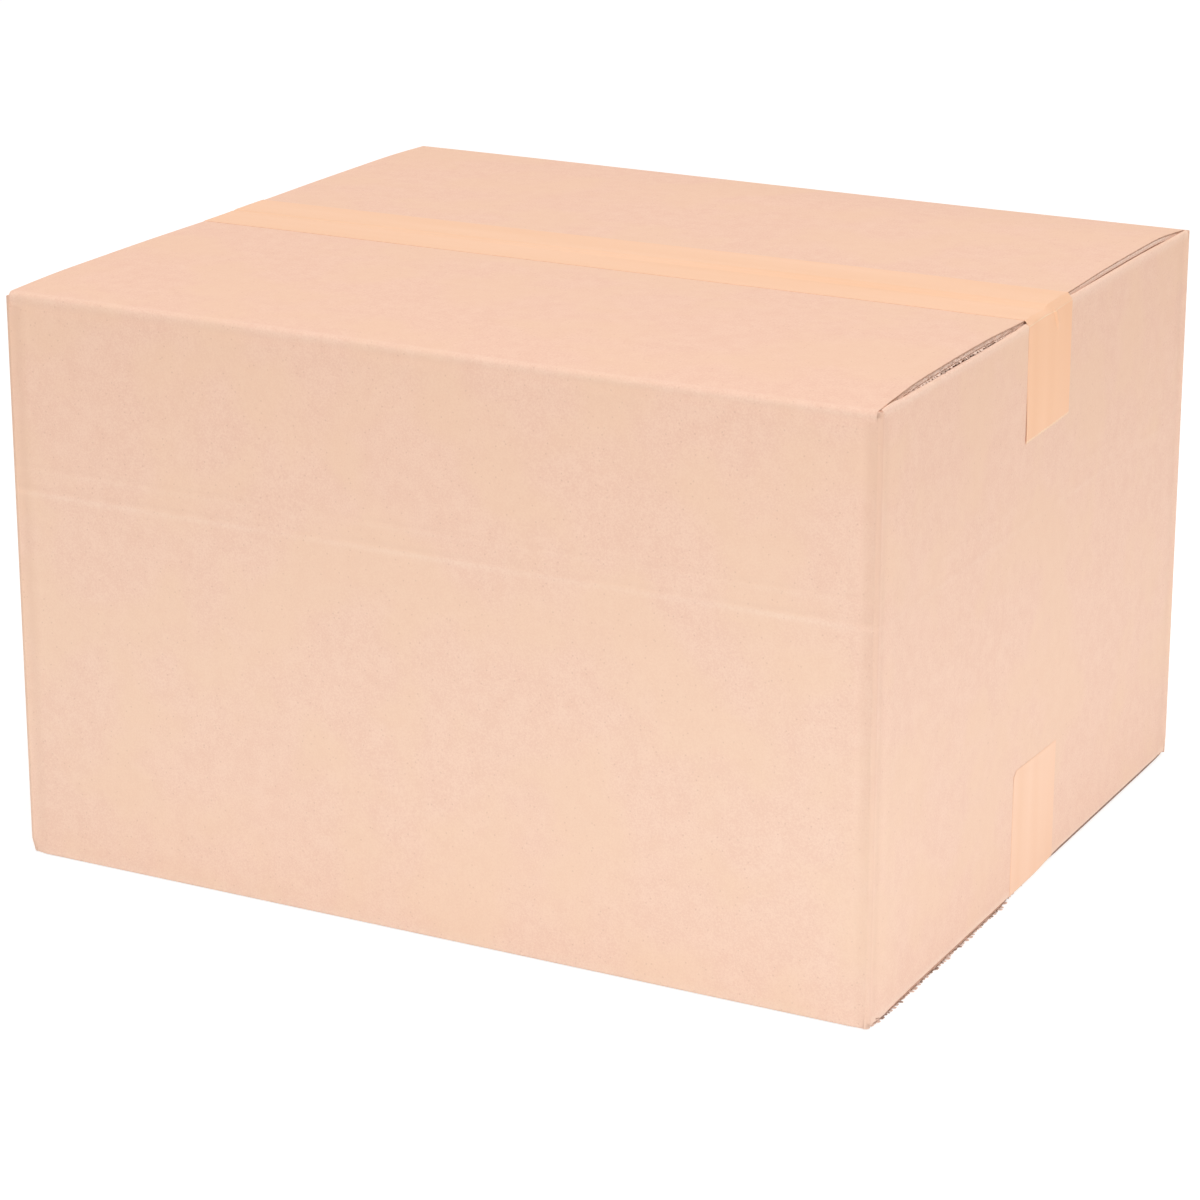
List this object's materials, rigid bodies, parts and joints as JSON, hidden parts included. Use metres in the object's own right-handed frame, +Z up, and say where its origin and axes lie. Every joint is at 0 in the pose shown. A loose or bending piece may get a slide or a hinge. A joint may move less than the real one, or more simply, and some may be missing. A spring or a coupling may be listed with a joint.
{
  "type": "closed cardboard box",
  "caption": "Closed corrugated shipping carton with folded flaps, raw fluted edges and a strip of tape along the top and bottom seams.",
  "frame": {"origin": "middle of the footprint, at the outer face of the closed bottom flaps", "axes": "+X along the length and the taped seams, +Y across the width towards the back panel, +Z up"},
  "size_m": [0.4102, 0.354, 0.2615],
  "materials": {
    "board": "matte pale kraft liner with fine fibre and specks, pressed folds and grey-brown raw flutes",
    "tape": "smooth satin self-adhesive paper tape, slightly yellower than the board"
  },
  "bodies": {
    "root": {"carton": "board", "top_tape": "tape", "bottom_tape": "tape"}
  },
  "joints": []
}
